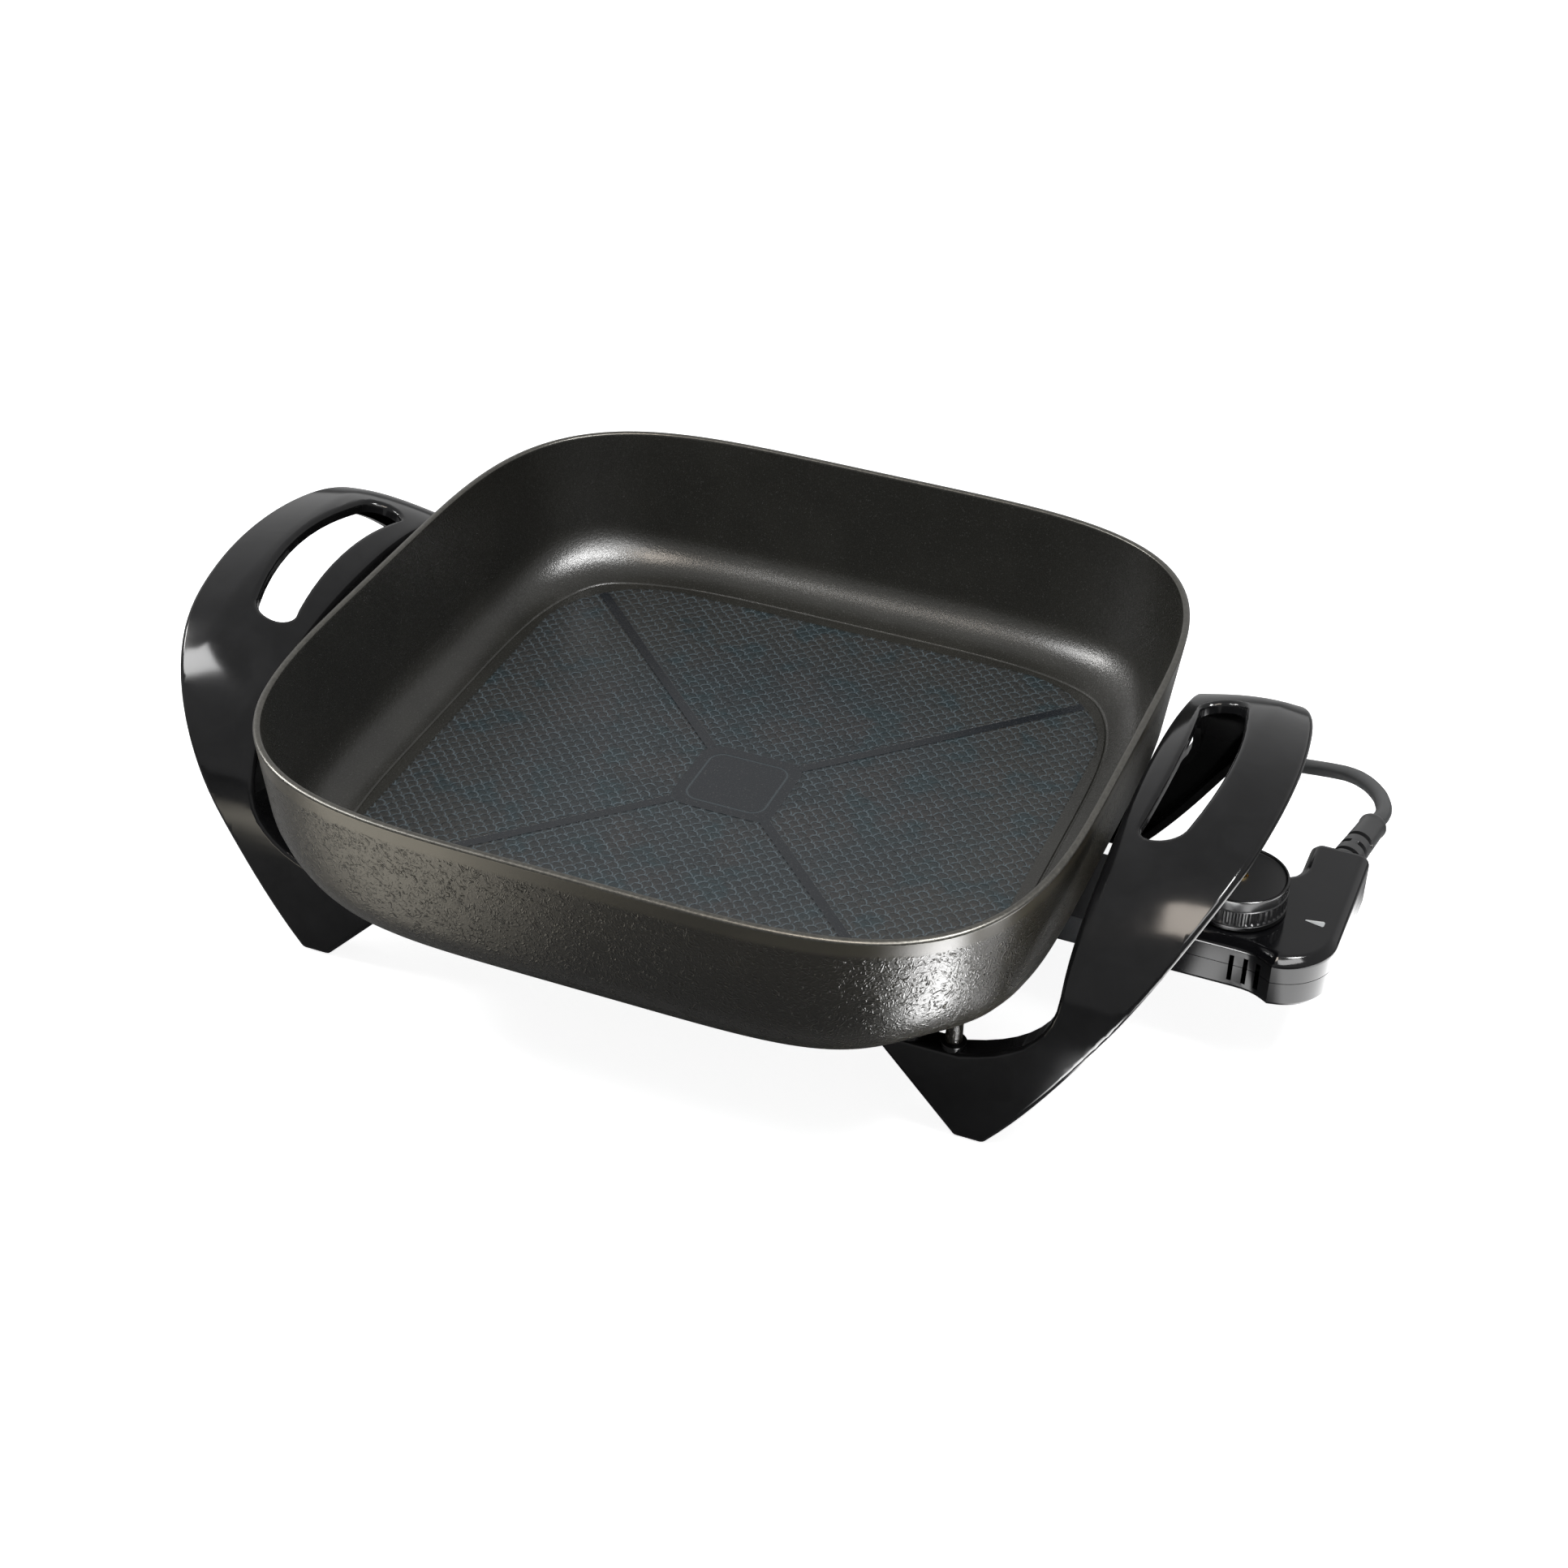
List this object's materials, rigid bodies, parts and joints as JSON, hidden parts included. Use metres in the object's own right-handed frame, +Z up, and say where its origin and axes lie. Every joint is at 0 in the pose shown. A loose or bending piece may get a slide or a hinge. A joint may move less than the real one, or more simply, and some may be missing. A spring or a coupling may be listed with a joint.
{
  "type": "electric skillet",
  "caption": "Square electric frying pan on two black leg-and-grip mouldings, with a heating element underneath and a plug-in temperature controller with a turning dial and cord.",
  "frame": {"origin": "on the table, below the middle of the box round the skillet and its controller, cord left out", "axes": "+X to the side with the controller, -Y to the front, +Z up"},
  "size_m": [0.5124, 0.4535, 0.1335],
  "materials": {
    "pan_coating": "dark non-stick coat, satin inside, grained outside",
    "steel": "satin",
    "plated_steel": "bright plated",
    "ceramic": "unglazed",
    "guard_paint": "heat-proof black",
    "handle_black": "polished moulded black",
    "case_black": "polished moulded black",
    "terminal_resin": "moulded",
    "contact_metal": "bright",
    "brass": "bright turned",
    "mark_white": "matte",
    "dial_black": "gloss top, satin ribs",
    "relief_black": "satin",
    "cord_black": "satin",
    "tie_black": "matte",
    "plug_black": "satin"
  },
  "bodies": {
    "skillet": {"pan_body": "pan_coating", "heating_element": "steel", "terminal_pins": "plated_steel", "terminal_insulators": "ceramic", "terminal_guard": "guard_paint", "guard_screws": "plated_steel", "handle_left": "handle_black", "handle_right": "handle_black", "handle_screws": "plated_steel"},
    "controller": {"controller_base": "case_black", "controller_cover": "case_black", "case_screws": "plated_steel", "contact_block": "terminal_resin", "contact_sleeves": "contact_metal", "probe_tube": "steel", "sensor_rod": "steel", "thermostat_frame": "steel", "arm_pivot_pin": "steel", "contact_base": "ceramic", "fixed_contact": "contact_metal", "inner_leads": "contact_metal", "dial_mark": "mark_white", "strain_relief": "relief_black", "cord_lead": "cord_black", "cord_coil": "cord_black", "coil_tie": "tie_black", "cord_tail": "cord_black", "plug_body": "plug_black", "plug_pins": "plated_steel", "plug_earth_clips": "plated_steel"},
    "dial": {"dial_knob": "dial_black", "dial_shaft": "brass", "shaft_clip": "steel"},
    "switch_arm": {"contact_arm": "contact_metal", "moving_contact": "plated_steel"}
  },
  "joints": [
    {"name": "controller_pull", "type": "slide", "parent": "skillet", "child": "controller", "axis": [1, 0, 0], "range_m": [0, 0.07]},
    {"name": "dial_turn", "type": "hinge", "parent": "controller", "child": "dial", "pos_m": [0.21125, 0, 0.07], "axis": [0, 0, 1], "range_deg": [0, 270]},
    {"name": "arm_tilt", "type": "hinge", "parent": "controller", "child": "switch_arm", "pos_m": [0.19125, 0, 0.0486], "axis": [0, 1, 0], "range_deg": [0, 1.3]}
  ],
  "couplings": [
    {"joint": "arm_tilt", "follows": "dial_turn", "ratio": 0.0048}
  ]
}
